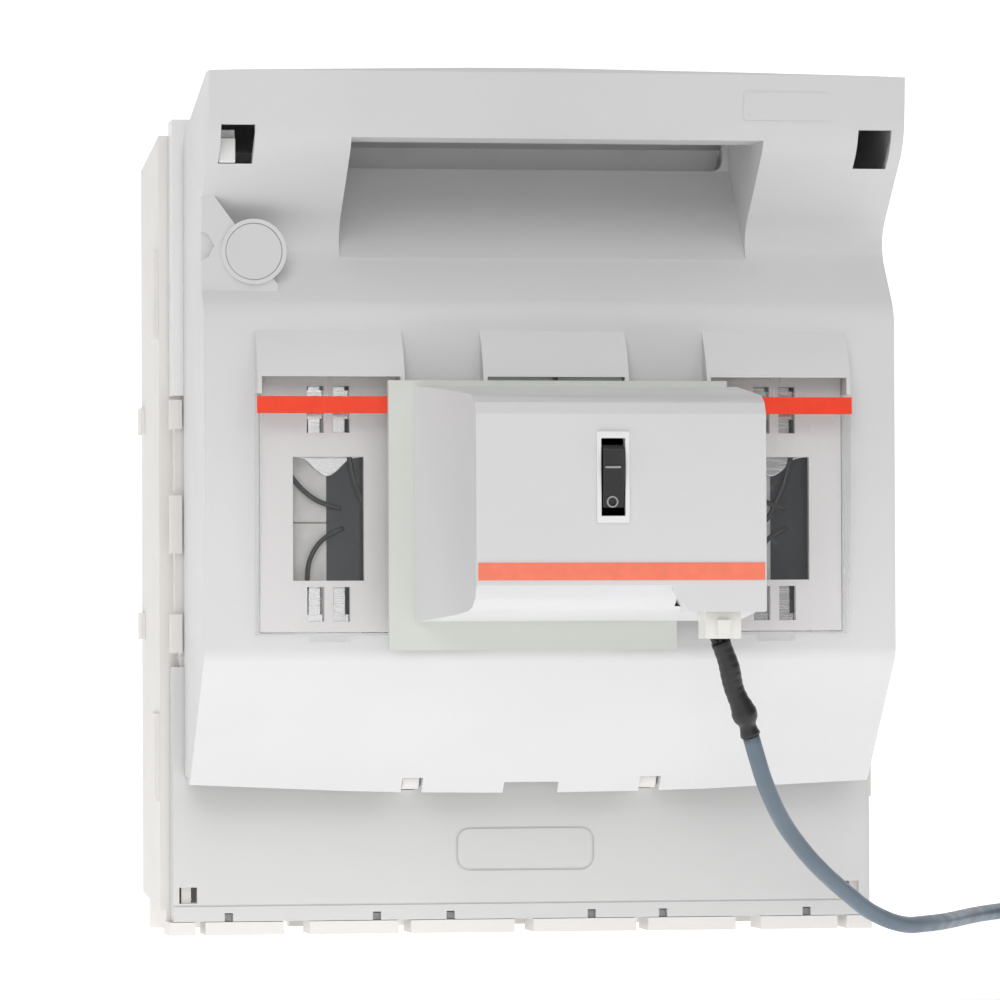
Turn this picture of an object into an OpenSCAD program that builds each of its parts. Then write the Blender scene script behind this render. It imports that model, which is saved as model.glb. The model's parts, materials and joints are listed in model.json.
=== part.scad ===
// Three-pole fuse-switch-disconnector for NH size 3 fuse links, with a hinged lid that
// carries the fuses and a fuse monitor with its signal lead. Millimetres, +Z up, front towards -Y.
// Spans are written as x = [left, right], f = [rear, front] forward of the front frame's face,
// and z = [low, high].

/* [Front frame] */
// Width over the front frame
frame_w = 256; // [254:1:258]
// Height of the front frame
frame_h = 290; // [288:1:292]
// Distance between neighbouring phases
phase_pitch = 80; // [79.5:0.5:80.5]
// Height of the entry combs that the housing stands on, below the frame
foot_h = 5; // [4:0.5:6]
// Depth of the housing behind the front frame
back_depth = 76; // [74:1:80]

/* [Lid] */
// Half width of the lid
lid_half_w = 124; // [123:0.5:124]
// How far the lid's flat middle stands in front of the frame
lid_mid_f = 66; // [66:0.5:67]
// How far the handle stands in front of the frame
handle_f = 84; // [83:0.5:86]
// Wall thickness of the lid
lid_wall = 3; // [2.5:0.25:3]
// How much the lid's top edge rises towards the middle of its width
top_bow = 2; // [1:0.5:3]

/* [Fuse links] */
// Length over the blades
fuse_len = 150; // [149:0.5:151]
// Length of the ceramic body
fuse_body_len = 69; // [68:0.5:70]
// Width of the ceramic body
fuse_body_w = 72; // [70:1:74]
// Thickness of a blade
blade_t = 6; // [5.5:0.25:6.25]

/* [Monitor] */
// How far the monitor's face stands in front of the frame
monitor_f = 130; // [128:1:132]
// Diameter of the signal cable
cable_d = 6; // [5:0.5:7]

/* [Mounting] */
// Distance between the mounting holes across
mount_dx = 226; // [220:2:226]
// Distance between the mounting holes in height
mount_dz = 220; // [210:2:222]
// Diameter of the mounting holes
mount_hole_d = 7; // [6:0.5:8]

/* [Hidden] */

$fn = 64;
bend_steps = 10;
fit = 0.3;                      // clearance between moulded pieces that slide past each other
phases = [-phase_pitch, 0, phase_pitch];
UP = 1;
DOWN = -1;

// Overall layout: the origin is under the middle of the object without its lead
rocker_reach = 3.5;             // how far the rocker stands out of the monitor's face
front_y = (monitor_f + rocker_reach - back_depth) / 2;
frame_x = frame_w / 2;
frame_z0 = foot_h;
frame_z1 = foot_h + frame_h;
mid_z = frame_z0 + frame_h / 2;

// Housing
housing_x = frame_x + 3.5;
housing_wall = 3.5;
back_wall = 6;
step_f = -13;                   // behind this the housing is wider than the front frame
cover_split = [97, 195];        // the terminal covers end at these heights
cover_f = [-2.5, 0];
housing_front = cover_f[0] - 0.2;

// Conductors
terminal_w = 40;
terminal_f = [-20, -12];
bolt_d = 12;
jaw_t = 3;
jaw_gap = blade_t + 0.6;
jaw_x = [jaw_gap / 2, jaw_gap / 2 + jaw_t];
blade_f = [2, 34];
cap_t = 3;
body_f = [-8, 58];

// Hinge
hinge_f = 9;
hinge_z = 58;
pin_r = 2.5;
arm_x = [40.5, 46.5];
ear_t = 4;

// Windows and hoods
window_half_w = 26;
opening_half_w = 24.5;
window_z = [108, 192];
window_f = 75;
tab_z = 200;
tab_f = [70.6, 72.2];

// Monitor
plate_f = [75.9, 79];
plate_x = 60.4;
plate_z = [102.8, 197.5];
switch_x = [4.5, 16];
switch_z = [146.5, 178];
rocker_axis_f = monitor_f - 10;
rocker_axis_z = (switch_z[0] + switch_z[1]) / 2;
board_f = [86, 87.6];
board_posts = [for (x = [-38, 54]) for (z = [124, 182]) [x, z]];
socket_x = [43.5, 56];
plug_top_z = 114;
boss_floor_z = 117.8;

// Signal lead: the tube's route as [x, f, z] from the sleeve's end to the coil
sleeve_top = [50, 118, 105.5];
sleeve_end = [62, 110, 73];
sleeve_r = 3.7;
cord_gap = 0.4;                 // between the sleeve's end and the outer jacket's start
sleeve_dir = (sleeve_end - sleeve_top) / norm(sleeve_end - sleeve_top);
coil_centre = [244, -74];
coil_r = [30, 42];
coil_h = 12;
lead_route = [
    sleeve_end + cord_gap * sleeve_dir, [64.8, 107.6, 65], [68, 104, 57], [72.3, 98.5, 49], [77.5, 92, 41.5],
    [83.5, 86, 34.5], [90, 80, 28], [98.5, 72, 21], [107.5, 64, 14.5], [114, 58.5, 10],
    [121, 53, 6.5], [127.5, 47.5, 4.2], [134, 42, 3], [141, 34.5, 3], [148, 25, 3],
    [154.5, 13.5, 3], [161, 0, 3], [167.5, -14, 3], [174, -27.5, 3], [180.5, -40, 3],
    [187, -51, 3], [193.5, -61.5, 3], [199.5, -71.5, 3], [204.5, -80.5, 3]
];

// A box between two heights, two sides and two depths
module block(x, f, z) {
    translate([x[0], front_y - f[1], z[0]])
        cube([x[1] - x[0], f[1] - f[0], z[1] - z[0]]);
}

// The same box on the left and on the right
module pair(x, f, z) {
    block(x, f, z);
    block([-x[1], -x[0]], f, z);
}

// An outline of [f, z] points, extruded across from x[0] to x[1]
module side_profile(points, x) {
    translate([x[1], front_y, 0])
        rotate([90, 0, -90])
            linear_extrude(x[1] - x[0])
                polygon(points);
}

// An outline of [x, z] points, extruded forward from f[0] to f[1]
module front_profile(points, f) {
    translate([0, front_y - f[0], 0])
        rotate([90, 0, 0])
            linear_extrude(f[1] - f[0])
                polygon(points);
}

// A cylinder along the depth, centred on p = [x, z]
module depth_rod(p, r, f) {
    translate([p[0], front_y - f[0], p[1]])
        rotate([90, 0, 0])
            cylinder(h = f[1] - f[0], r = r);
}

// A cylinder across, centred on p = [f, z]
module cross_rod(p, r, x) {
    translate([x[0], front_y - p[0], p[1]])
        rotate([0, 90, 0])
            cylinder(h = x[1] - x[0], r = r);
}

// A rounded rectangle seen from the front, between two depths
module rounded_pad(x, z, r, f) {
    block([x[0] + r, x[1] - r], f, z);
    block(x, f, [z[0] + r, z[1] - r]);
    for (px = [x[0] + r, x[1] - r])
        for (pz = [z[0] + r, z[1] - r])
            depth_rod([px, pz], r, f);
}

// The line through points a and b of an outline, moved to the left by d
function moved(a, b, d) =
    let (v = (b - a) / norm(b - a))
    [a + d * [-v[1], v[0]], v];

// Where two lines of the form [point, direction] cross
function crossing(l, m) =
    let (c = l[1][0] * m[1][1] - l[1][1] * m[1][0])
    let (w = m[0] - l[0])
    l[0] + l[1] * ((w[0] * m[1][1] - w[1] * m[1][0]) / c);

// An outline drawn anticlockwise, moved inward by d on every side
function inset(points, d) =
    let (n = len(points))
    [for (i = [0:n - 1])
        crossing(moved(points[(i + n - 1) % n], points[i], d),
                 moved(points[i], points[(i + 1) % n], d))];

// Points along a curve from a to c that starts and ends towards b
function bend(a, b, c) =
    [for (t = [0:1 / bend_steps:1]) (1 - t) * (1 - t) * a + 2 * t * (1 - t) * b + t * t * c];

// An outline whose corners are rounded, each from the distance given in reach
function rounded(points, reach) =
    let (n = len(points))
    [for (i = [0:n - 1])
        let (p = points[i])
        let (before = points[(i + n - 1) % n] - p)
        let (after = points[(i + 1) % n] - p)
        each reach[i] == 0 ? [p]
            : bend(p + before / norm(before) * reach[i], p, p + after / norm(after) * reach[i])];

// Mirrors a z span about the middle of the frame when the side is DOWN
function at_end(side, z) = side == UP ? z : [2 * mid_z - z[1], 2 * mid_z - z[0]];
function end_z(side, z) = side == UP ? z : 2 * mid_z - z;

// ---------------------------------------------------------------- base

module base_housing() {
    side = [[housing_front, frame_z0 + 3], [housing_front, frame_z1 - 3], [-6, frame_z1 - 4],
            [-back_depth, frame_z1 - 13], [-back_depth, frame_z0 + 8]];
    inner = [[8, frame_z0 + 6], [8, frame_z1 - 6], [-6, frame_z1 - 8],
             [-back_depth + back_wall, frame_z1 - 16], [-back_depth + back_wall, frame_z0 + 11.5]];
    color("gainsboro") difference() {
        union() {
            difference() {
                side_profile(side, [-housing_x, housing_x]);
                side_profile(inner, [-housing_x + housing_wall, housing_x - housing_wall]);
                // the side walls step in behind the front frame
                pair([frame_x - 3, housing_x + 1], [step_f, 9], [0, frame_z1 + 10]);
            }
            // front strips of the side walls, with their stepped edges
            pair([frame_x - 6.5, frame_x - 3], [step_f - 4, housing_front], [frame_z0 + 3, frame_z1 - 5]);
            pair([frame_x - 6.5, frame_x + 1], [step_f - 4, step_f], [frame_z0 + 4, frame_z1 - 5]);
            for (z = [[102, 116], [138, 159], [183, 193.5]])
                pair([frame_x - 3.5, frame_x + 0.5], [-9, -0.5], z);
            for (z = [[116, 138], [159, 183]])
                pair([frame_x - 3.5, frame_x - 1], [-9, -3], z);
            partitions();
            for (px = phases)
                for (side = [UP, DOWN])
                    block([px - 18, px + 18], [-back_depth + 1, terminal_f[0]], at_end(side, [200, 238]));
            for (sx = [-1, 1])
                for (sz = [-1, 1])
                    depth_rod([sx * mount_dx / 2, mid_z + sz * mount_dz / 2], 8, [-back_depth + 1, -64]);
            hinge_arms();
            entry_combs();
            side_ribs();
        }
        for (sx = [-1, 1])
            for (sz = [-1, 1])
                depth_rod([sx * mount_dx / 2, mid_z + sz * mount_dz / 2], mount_hole_d / 2,
                          [-back_depth - 1, -60]);
        // cable entries above and below each phase
        for (px = phases)
            for (z = [[frame_z0 - 1, frame_z0 + 14], [frame_z1 - 18, frame_z1 + 1]])
                block([px - 26, px + 26], [-62, -22], z);
        // holes for the screws that hold the terminals
        for (px = phases)
            for (side = [UP, DOWN])
                for (dx = [-13, 13])
                    depth_rod([px + dx, end_z(side, 205)], 2.6, [-38, terminal_f[0] + 1]);
    }
}

module partitions() {
    for (x = [-phase_pitch / 2, phase_pitch / 2])
        block([x - 1.5, x + 1.5], [-back_depth + 1, -4.2], [frame_z0 + 8, frame_z1 - 12]);
}

module hinge_arms() {
    for (sx = [-1, 1]) {
        x = sx > 0 ? arm_x : [-arm_x[1], -arm_x[0]];
        difference() {
            union() {
                cross_rod([hinge_f, hinge_z], 5.5, x);
                block(x, [-10, hinge_f], [hinge_z - 5.5, hinge_z + 5.5]);
                block(x, [-back_depth + 1, -8], [frame_z0 + 6, hinge_z + 5.5]);
            }
            cross_rod([hinge_f, hinge_z], pin_r + 0.05, [x[0] - 1, x[1] + 1]);
        }
    }
}

// The combs at the bottom, with gaps where the cables enter
module entry_combs() {
    for (x = [[120, 129.5], [88, 116.5], [46, 78.5], [3.5, 41.5]]) {
        for (f = [[-70, -63], [-20, step_f]])
            pair(x, f, [0, frame_z0 + 8]);
        pair(x, [step_f - 1, 0], [0, frame_z0 - 0.2]);
    }
}

// Raised guides on the side walls
module side_ribs() {
    for (z = [[48, 80], [216, 248]])
        difference() {
            pair([housing_x - 1, housing_x + 1.2], [-36, -15], z);
            pair([housing_x + 0.2, housing_x + 2], [-19, -16.5], [z[0] + 2, z[1] - 2]);
        }
    for (z = [[107, 117], [183, 193]])
        pair([housing_x - 1, housing_x + 1.5], [-back_depth, -back_depth + 12], z);
}

// One terminal cover; the cover's own frame has z measured as on the upper one
module terminal_cover(side) {
    z0 = side == UP ? cover_split[1] : frame_z0;
    z1 = side == UP ? frame_z1 : cover_split[0];
    far = side == UP ? [frame_z1 - 2.5, frame_z1] : [frame_z0, frame_z0 + 2.5];
    difference() {
        union() {
            block([-frame_x, frame_x], cover_f, [z0, z1]);
            pair([frame_x - 2.5, frame_x], [step_f + 0.5, -1], [z0, z1]);
            block([-frame_x, frame_x], [step_f + 0.5, -1], far);
            for (px = phases)
                contact_shroud(px, side);
        }
        for (px = phases)
            shroud_hollow(px, side);
        // room for the housing's hinge arms and stepped edges
        if (side == DOWN)
            pair([arm_x[0] - fit, arm_x[1] + fit], [-14, 2], [hinge_z - 6, hinge_z + 6]);
        children();
    }
}

// The touch guard over one pair of jaws, lower toward the lid's slanted foot
function shroud_outline(side) = side == UP
    ? [[-1, 189], [36, 189], [36, 222], [28, 231], [-1, 231]]
    : [[-1, 69.5], [24, 69.5], [36, 79.5], [36, 103.5], [28, 107.5], [18, 110.5], [-1, 111]];

module contact_shroud(px, side) {
    side_profile(shroud_outline(side), [px - 12, px + 12]);
}

module shroud_hollow(px, side) {
    side_profile(inset(shroud_outline(side), 1.6), [px - 10.4, px + 10.4]);
    block([px - 10.4, px + 10.4], [-4, 2], at_end(side, [190.6, 229.4]));
    // the slot that a blade swings through
    block([px - 4.2, px + 4.2], [0.6, 40], side == UP ? [185, 228] : [66, 115]);
}

module upper_terminal_cover() {
    color("whitesmoke") {
        terminal_cover(UP) {
            block([-49, -42], [-4, 8], [frame_z1 - 9, frame_z1 - 6]);
            block([42, 49], [-4, 8], [frame_z1 - 9, frame_z1 - 6]);
        }
        // the raised edge behind the handle
        difference() {
            block([-90, 72], [-1, 4], [268, 289.5]);
            block([-88, 70], [-1.2, 2], [270, 287.5]);
        }
    }
}

module lower_terminal_cover() {
    color("gainsboro") terminal_cover(DOWN) {
        // the outline of the knock-out panel
        difference() {
            rounded_pad([-25, 26], [22.5, 38.5], 5, [-0.6, 1]);
            rounded_pad([-24.2, 25.2], [23.3, 37.7], 4.2, [-1, 2]);
        }
        block([-frame_x - 1, frame_x + 1], [-0.5, 1], [10.4, 11]);
        for (x = [-126, 118])
            block([x, x + 6.5], [-4, 1], [11.6, 17.4]);
        for (x = [-108, -54, -27, 25, 51.5, 105])
            block([x - 1.5, x + 1.5], [-4, 1], [4, 8]);
    }
}

// ---------------------------------------------------------------- conductors

// The flat bar that a cable lug is bolted to
module terminal_bar(px, side) {
    color("silver") difference() {
        block([px - terminal_w / 2, px + terminal_w / 2], terminal_f, at_end(side, [190, 264]));
        depth_rod([px, end_z(side, 251)], bolt_d / 2 + 0.5, [-30, 0]);
        for (dx = [-13, 13])
            depth_rod([px + dx, end_z(side, 205)], 3.2, [-30, 0]);
    }
}

// Two spring-backed contact plates that grip a blade
module jaws(px, side) {
    outline = side == UP
        ? [[-12, 191.2], [30, 191.2], [30, 218], [24, 223.5], [-12, 223.5]]
        : [[-12, 76.5], [22, 76.5], [30, 84], [30, 104], [20, 107.6], [-12, 107.6]];
    color("silver") for (sx = [-1, 1]) {
        x = sx > 0 ? [px + jaw_x[0], px + jaw_x[1]] : [px - jaw_x[1], px - jaw_x[0]];
        side_profile(outline, x);
        foot = sx > 0 ? [px + jaw_x[1], px + 8.8] : [px - 8.8, px - jaw_x[1]];
        block(foot, [-12, -9.5], at_end(side, [193, 221]));
    }
}

module jaw_springs(side) {
    leaf_x = [jaw_x[1], jaw_x[1] + 1.2];
    color("darkgray") for (px = phases) {
        for (x = [[px + leaf_x[0], px + leaf_x[1]], [px - leaf_x[1], px - leaf_x[0]]]) {
            block(x, [-9, 20], at_end(side, [200, 214]));
            block(x, [-9, -1.5], at_end(side, [213, 228.6]));
        }
        block([px - leaf_x[1], px + leaf_x[1]], [-9, -1.5], at_end(side, [227.4, 228.6]));
    }
}

module terminal_bolts() {
    color("silver") for (px = phases)
        for (side = [UP, DOWN]) {
            p = [px, end_z(side, 251)];
            depth_rod(p, bolt_d / 2, [-46, -4]);
            translate([p[0], front_y + 9.4, p[1]])
                rotate([90, 0, 0])
                    cylinder(h = 6.5, r = 10.4, $fn = 6);
        }
}

module terminal_washers() {
    color("silver") for (px = phases)
        for (side = [UP, DOWN])
            difference() {
                depth_rod([px, end_z(side, 251)], 13, [terminal_f[1], terminal_f[1] + 2.6]);
                depth_rod([px, end_z(side, 251)], bolt_d / 2 + 0.5, [-20, 0]);
            }
}

module terminal_nuts() {
    color("silver") for (px = phases)
        for (side = [UP, DOWN])
            difference() {
                translate([px, front_y - terminal_f[0] + 10, end_z(side, 251)])
                    rotate([90, 0, 0])
                        cylinder(h = 10, r = 10.4, $fn = 6);
                depth_rod([px, end_z(side, 251)], bolt_d / 2, [-40, -10]);
            }
}

module terminal_screws() {
    color("silver") for (px = phases)
        for (side = [UP, DOWN])
            for (dx = [-13, 13]) {
                p = [px + dx, end_z(side, 205)];
                depth_rod(p, 2.6, [-36, -10]);
                difference() {
                    depth_rod(p, 4, [terminal_f[1], terminal_f[1] + 3.5]);
                    block([p[0] - 0.5, p[0] + 0.5], [terminal_f[1] + 2, -5], [p[1] - 5, p[1] + 5]);
                }
            }
}

// ---------------------------------------------------------------- lid

// The lid's side outline, [f, z], drawn anticlockwise, with the foot's slope run on to the back
foot_slope = 0.95;
foot_z = 53.2;
lid_side = [
    [0.6, foot_z - 15.4 * foot_slope], [lid_mid_f, foot_z + (lid_mid_f - 16) * foot_slope],
    [lid_mid_f, 223], [42.5, 249], [handle_f - 0.5, 282], [handle_f + 1.5, 305.5],
    [handle_f, 307.2], [6, 289], [0.6, 285]
];
lid_reach = [0, 3, 5, 13, 9, 0, 0, 0, 0];
foot_bow = 3.8;

module lid_outer() {
    top = [for (i = [4:-1:-4]) [i * 32, 307.2 - top_bow * pow(i * 32 / lid_half_w, 2)]];
    foot = [for (i = [-4:4]) [i * 32, foot_z - 2.2 + foot_bow * pow(i * 32 / lid_half_w, 2)]];
    difference() {
        intersection() {
            side_profile(rounded(lid_side, lid_reach), [-lid_half_w, lid_half_w]);
            front_profile(concat(foot, top), [0, 100]);
        }
        block([-130, 130], [-1, 13], [30, 57.4]);
    }
}

// The finger recess under the handle, as [f, z]
recess = concat(
    [[100, 282.5], [61, 282.5], [61, 297.5], [17, 288]],
    bend([17, 276.5], [30, 262.5], [48.4, 242.5]),
    [[100, 242.5]]
);
recess_half_w = 73.5;
plug_at = [-105.5, 243.5];
plug_seat_f = 57;

module lid_shell() {
    inner_x = lid_half_w - lid_wall;
    color("gainsboro") {
        difference() {
            union() {
                difference() {
                    lid_outer();
                    side_profile(inset(lid_side, lid_wall), [-inner_x, inner_x]);
                    // open back
                    block([-inner_x, inner_x], [-1, 6], [30, 283]);
                }
                recess_walls();
                plug_pad();
                for (sx = [-1, 1])
                    hinge_ears(sx);
            }
            // room for the raised edge of the cover behind
            block([-91.5, 73.5], [-1, 5.5], [266, 300]);
            // the recess itself, open to the front and to the cover behind it
            side_profile(recess, [-recess_half_w, recess_half_w]);
            rounded_pad([-recess_half_w + 1, 71.5], [276.5, 291], 4, [10, 18]);
            for (px = phases)
                block([px - opening_half_w, px + opening_half_w], [50, 70], [109, 200.2]);
            // openings at the handle's ends
            pair([107.5, 119.5], [58, 100], [273.5, 286.5]);
            depth_rod(plug_at, 10.1, [plug_seat_f, 90]);
            depth_rod(plug_at, 8.3, [30, 90]);
            // slots in the foot for the hinge arms and the middle catch
            pair([arm_x[0] - 0.8, arm_x[1] + 0.8], [-2, 21], [40, 56.8]);
            block([-10, 10], [-2, 19], [40, 55]);
            // notch for a seal wire in the left edge
            front_profile([[-125, 240], [-121.5, 241.5], [-119.5, 245.5], [-121.5, 249.5], [-125, 251]],
                          [58, 70]);
        }
        for (px = phases)
            hood(px);
    }
}

module recess_walls() {
    outline = concat(
        [[90, 239], [90, 281], [handle_f, 281], [handle_f, 290], [64, 290], [64, 300], [58, 300],
         [13.5, 291]],
        bend([13.5, 276], [27, 259.5], [45.4, 239])
    );
    intersection() {
        lid_outer();
        side_profile(outline, [-recess_half_w - 3, recess_half_w + 3]);
    }
}

// The flat pad around the blanking plug, at the left of the waist
module plug_pad() {
    pad = [[-lid_half_w, 226], [-97, 226], [-97, 232], [-105.5, 243.5], [-112, 253],
           [-120.5, 264.5], [-lid_half_w, 264.5]];
    front_profile(pad, [45, 60]);
    depth_rod(plug_at, 11.6, [43, 61]);
}

// A ramp that leads the lid's face out over one window, open underneath
module hood(px) {
    outer = [[lid_mid_f - 1.5, 215.5], [lid_mid_f, 215.5], [70, 210], [73, 204.5], [window_f, 199],
             [window_f, 193], [lid_mid_f - 1.5, 193]];
    hollow = [[lid_mid_f - 3, 211.5], [lid_mid_f + 0.5, 211.5], [68.6, 208.4], [71.4, 203.5],
              [window_f - 1.6, 198], [window_f - 1.6, 190], [lid_mid_f - 3, 190]];
    difference() {
        side_profile(outer, [px - window_half_w, px + window_half_w]);
        side_profile(hollow, [px - opening_half_w, px + opening_half_w]);
        block([px - opening_half_w, px + opening_half_w], [60, 80], [190, 199]);
    }
}

// Two ears on the inside of the foot that hold one hinge pin
module hinge_ears(sx) {
    spans = [[arm_x[0] - fit - ear_t, arm_x[0] - fit], [arm_x[1] + fit, arm_x[1] + fit + ear_t]];
    for (s = spans) {
        x = sx > 0 ? s : [-s[1], -s[0]];
        difference() {
            union() {
                cross_rod([hinge_f, hinge_z], 5, x);
                side_profile([[hinge_f, hinge_z - 5], [17.5, 55], [27, 64.5], [hinge_f, hinge_z + 5]], x);
            }
            cross_rod([hinge_f, hinge_z], pin_r, [x[0] - 1, x[1] + 1]);
        }
    }
}

module hinge_pins() {
    reach = [arm_x[0] - fit - ear_t, arm_x[1] + fit + ear_t];
    color("darkgray") {
        cross_rod([hinge_f, hinge_z], pin_r, reach);
        cross_rod([hinge_f, hinge_z], pin_r, [-reach[1], -reach[0]]);
    }
}

// A domed clear tray with two hooks at the top and a latch at the bottom
module window(px) {
    seat = lid_mid_f;
    outer = [[seat, 108], [67.5, 108], [69.6, 114], [72, 128], [74, 146], [window_f, 164],
             [window_f, window_z[1]], [seat, window_z[1]]];
    inner = [[seat - 1, 109.6], [66.5, 109.6], [68.1, 114.6], [70.4, 128.3], [72.4, 146.2],
             [window_f - 1.6, 164.2], [window_f - 1.6, window_z[1] + 1], [seat - 1, window_z[1] + 1]];
    color([0.85, 0.9, 0.92, 0.4]) {
        difference() {
            side_profile(outer, [px - window_half_w, px + window_half_w]);
            side_profile(inner, [px - opening_half_w, px + opening_half_w]);
        }
        for (x = [[px - 24, px - 1], [px + 1, px + 24]]) {
            block(x, tab_f, [window_z[1] - 4, tab_z]);
            block(x, [tab_f[1], window_f - 1.6], [window_z[1] - 4, window_z[1]]);
        }
        block([px - 7, px + 7], [seat, 68.5], [105.6, 109]);
    }
}

module window_band(px) {
    color("orangered")
        block([px - window_half_w - 0.3, px + window_half_w + 0.3], [window_f, window_f + 0.4],
              [186, 192]);
}

module blanking_plug() {
    color("gainsboro") {
        depth_rod(plug_at, 10, [plug_seat_f, 61]);
        depth_rod(plug_at, 8.2, [42, plug_seat_f + 0.5]);
    }
}

module seal_slider() {
    color("white") {
        block([-lid_half_w + lid_wall, -113.5], [56, 60], [267.5, 285.5]);
        block([-119.3, -113.5], [60, 72], [273.8, 285.5]);
        block([-119.3, -113.5], [72, 74], [273.8, 282.5]);
    }
}

// ---------------------------------------------------------------- fuses

// The plate in a window opening that a fuse hangs from
module fuse_carrier(px) {
    plate_half_w = opening_half_w - 0.2;
    color("mistyrose") {
        difference() {
            block([px - plate_half_w, px + plate_half_w], [63.4, lid_mid_f], [109.2, 200]);
            for (s = [-1, 1])
                for (z = [[179.5, 196], [113, 125.2]]) {
                    x = s > 0 ? [px + 1.6, px + 7.6] : [px - 7.6, px - 1.6];
                    block(x, [60, 70], z);
                }
            block([px - 12.6, px + 12.6], [60, 70], [127.4, 171]);
        }
        // hooks that hold the fuse by its lugs
        for (side = [UP, DOWN])
            for (x = [[px - 20, px - 14], [px + 14, px + 20]]) {
                block(x, [56, 63.5], at_end(side, [187.5, 191]));
                block(x, [62, 63.5], at_end(side, [181, 191]));
            }
        // strips that clip behind the lid's wall
        for (s = [-1, 1])
            for (x = [[22, plate_half_w], [plate_half_w - 0.5, 27]]) {
                f = x[0] == 22 ? [61.6, 63.5] : [61.6, lid_mid_f - lid_wall];
                block(s > 0 ? [px + x[0], px + x[1]] : [px - x[1], px - x[0]], f, [115, 195]);
            }
    }
}

module fuse_body(px) {
    r = 8;
    z = [mid_z - fuse_body_len / 2, mid_z + fuse_body_len / 2];
    w = fuse_body_w / 2;
    color("ivory") translate([px, front_y, z[0]]) difference() {
        union() {
            translate([-w + r, -body_f[1], 0])
                cube([2 * (w - r), body_f[1] - body_f[0], z[1] - z[0]]);
            translate([-w, -body_f[1] + r, 0])
                cube([2 * w, body_f[1] - body_f[0] - 2 * r, z[1] - z[0]]);
            for (x = [-w + r, w - r])
                for (y = [-body_f[1] + r, -body_f[0] - r])
                    translate([x, y, 0])
                        cylinder(h = z[1] - z[0], r = r);
        }
        translate([-w + 11, -body_f[1] + 11, -1])
            cube([2 * (w - 11), body_f[1] - body_f[0] - 22, z[1] - z[0] + 2]);
    }
}

module fuse_end_caps(px) {
    w = fuse_body_w / 2 - 1;
    z0 = mid_z + fuse_body_len / 2;
    color("silver") for (side = [UP, DOWN]) {
        block([px - w, px + w], [body_f[0] + 1, body_f[1] - 1], at_end(side, [z0, z0 + cap_t]));
        block([px - 12, px + 12], [body_f[1] - 1, 62], at_end(side, [z0, z0 + cap_t]));
        block([px - 12, px + 12], [59.5, 62], at_end(side, [z0 + cap_t, z0 + cap_t + 7]));
    }
}

module fuse_blades(px) {
    root = mid_z + fuse_body_len / 2 + cap_t;
    tip = mid_z + fuse_len / 2;
    upper = [[blade_f[0], root], [blade_f[1], root], [blade_f[1], tip - 9], [blade_f[1] - 10, tip],
             [blade_f[0], tip]];
    lower = [for (p = upper) [p[0], 2 * mid_z - p[1]]];
    color("silver") for (outline = [upper, lower])
        side_profile(outline, [px - blade_t / 2, px + blade_t / 2]);
}

module fuse_indicators() {
    color("crimson") for (px = phases)
        depth_rod([px - 14, 156], 8.5, [body_f[1], body_f[1] + 1.5]);
}

// ---------------------------------------------------------------- monitor

module monitor_base_plate() {
    color("honeydew") {
        difference() {
            union() {
                block([-plate_x, plate_x], plate_f, plate_z);
                block([-window_half_w, window_half_w], [lid_mid_f, plate_f[0]], [107, 192]);
            }
            block([-window_half_w + 2, window_half_w - 2], [60, 77.5], [109, 190]);
            // openings for the sense wires and the cable plug's latch
            for (x = [-8, 8])
                block([x - 4, x + 4], [70, 82], [137, 153]);
            block([42, 57.5], [70, 82], [101, 113.5]);
        }
        for (x = [[-24, -1], [1, 24]]) {
            block(x, tab_f, [188, tab_z]);
            block(x, [tab_f[0], 77.5], [188, 190]);
        }
        for (p = board_posts) {
            depth_rod(p, 3, [plate_f[1] - 0.5, board_f[0]]);
            depth_rod(p, 1.5, [plate_f[1], board_f[1] + 2]);
        }
    }
}

// The monitor's side outline, [f, z], drawn anticlockwise
monitor_side = [
    [79, 112.8], [116, 116.2], [122, 117.5], [127, 120.5], [monitor_f, 125], [monitor_f, 184],
    [monitor_f - 2.5, 188], [monitor_f - 8, 190.8], [79, 195.5]
];
flank_r = 100;
flank_x = -37.4 - flank_r;

module monitor_housing() {
    wall = 2;
    color("gainsboro") difference() {
        union() {
            side_profile(monitor_side, [-51.5, 64]);
            front_profile([[31, 123], [36.5, 115.8], [64, 115.8], [64, 130], [31, 130]], [104, monitor_f]);
        }
        depth_rod_up([flank_x, monitor_f], flank_r);
        difference() {
            side_profile(inset_open(monitor_side, wall), [-49, 64 - wall]);
            depth_rod_up([flank_x, monitor_f], flank_r + wall);
        }
        block([33, 62], [106, monitor_f - wall], [boss_floor_z, 132]);
        block([switch_x[0] + 0.7, switch_x[1] - 0.7], [120, 134], [switch_z[0] + 0.7, switch_z[1] - 0.7]);
        block([socket_x[0] - 0.2, socket_x[1] + 0.2], [110, 126], [110, 120]);
    }
}

// An upright cylinder centred on p = [x, f]
module depth_rod_up(p, r) {
    translate([p[0], front_y - p[1], 90])
        cylinder(h = 130, r = r, $fn = 180);
}

// An outline whose first and last points lie on its open back
function inset_open(points, d) =
    let (inner = inset(points, d))
    [for (i = [0:len(points) - 1])
        i == 0 || i == len(points) - 1 ? [points[i][0] - 1, inner[i][1]] : inner[i]];

module monitor_band() {
    color("tomato")
        block([-36.8, 63.4], [monitor_f, monitor_f + 0.3], [126.8, 132.8]);
}

module switch_bezel() {
    color("white") difference() {
        union() {
            block(switch_x, [monitor_f, monitor_f + 1], switch_z);
            block([switch_x[0] + 0.8, switch_x[1] - 0.8], [monitor_f - 4, monitor_f],
                  [switch_z[0] + 0.8, switch_z[1] - 0.8]);
        }
        block([switch_x[0] + 1.6, switch_x[1] - 1.6], [120, 140], [switch_z[0] + 2.4, switch_z[1] - 2.4]);
    }
}

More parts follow.
